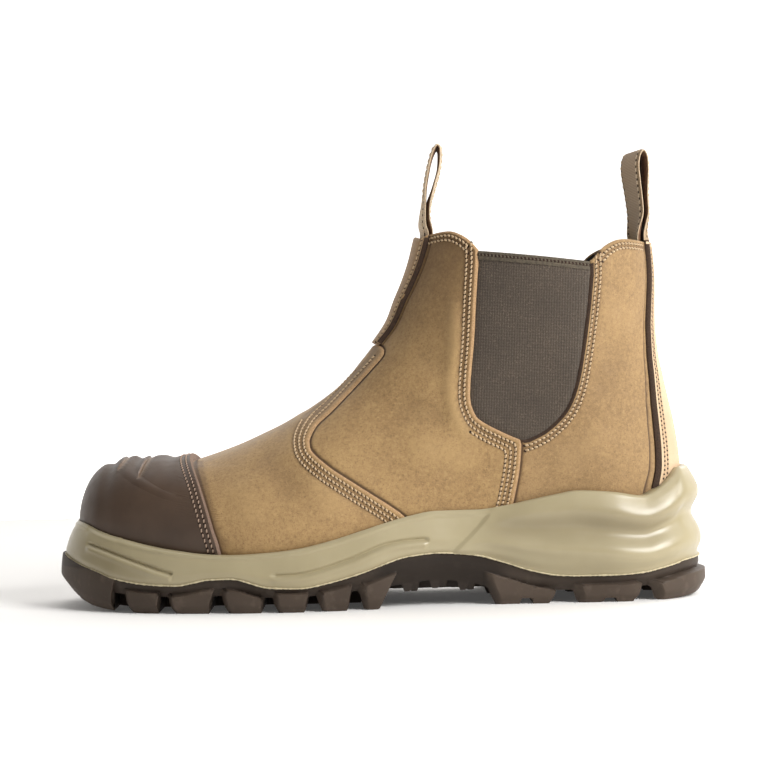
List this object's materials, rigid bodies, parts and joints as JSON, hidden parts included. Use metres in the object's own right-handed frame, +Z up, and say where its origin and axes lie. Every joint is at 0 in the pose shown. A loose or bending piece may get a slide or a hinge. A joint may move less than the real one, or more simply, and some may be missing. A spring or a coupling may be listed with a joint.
{
  "type": "side gore work boot",
  "caption": "Ankle-high pull-on work boot with elastic side gores, a moulded toe guard, a front strip, a backstay, pull loops and a lugged two-part sole.",
  "frame": {"origin": "middle of the boot's length and width, on the ground under the tread", "axes": "+X towards the heel, -X towards the toe, +Y towards the inner side of the left foot, +Z up the shaft"},
  "size_m": [0.307, 0.1146, 0.2158],
  "materials": {
    "outsole": "satin moulded rubber",
    "midsole": "glossy moulded foam rubber",
    "insole": "matt felt",
    "upper": "waxed nubuck with a soft nap",
    "toe_cap": "satin moulded guard",
    "front_strip": "waxed nubuck",
    "backstay": "waxed nubuck",
    "gore_lateral": "matt elastic weave",
    "gore_medial": "matt elastic weave",
    "pull_loop_front": "waxed nubuck",
    "pull_loop_back": "waxed nubuck"
  },
  "bodies": {
    "root": {"outsole": "outsole", "midsole": "midsole", "insole": "insole", "upper": "upper", "toe_cap": "toe_cap", "front_strip": "front_strip", "backstay": "backstay", "gore_lateral": "gore_lateral", "gore_medial": "gore_medial", "pull_loop_front": "pull_loop_front", "pull_loop_back": "pull_loop_back"}
  },
  "joints": []
}
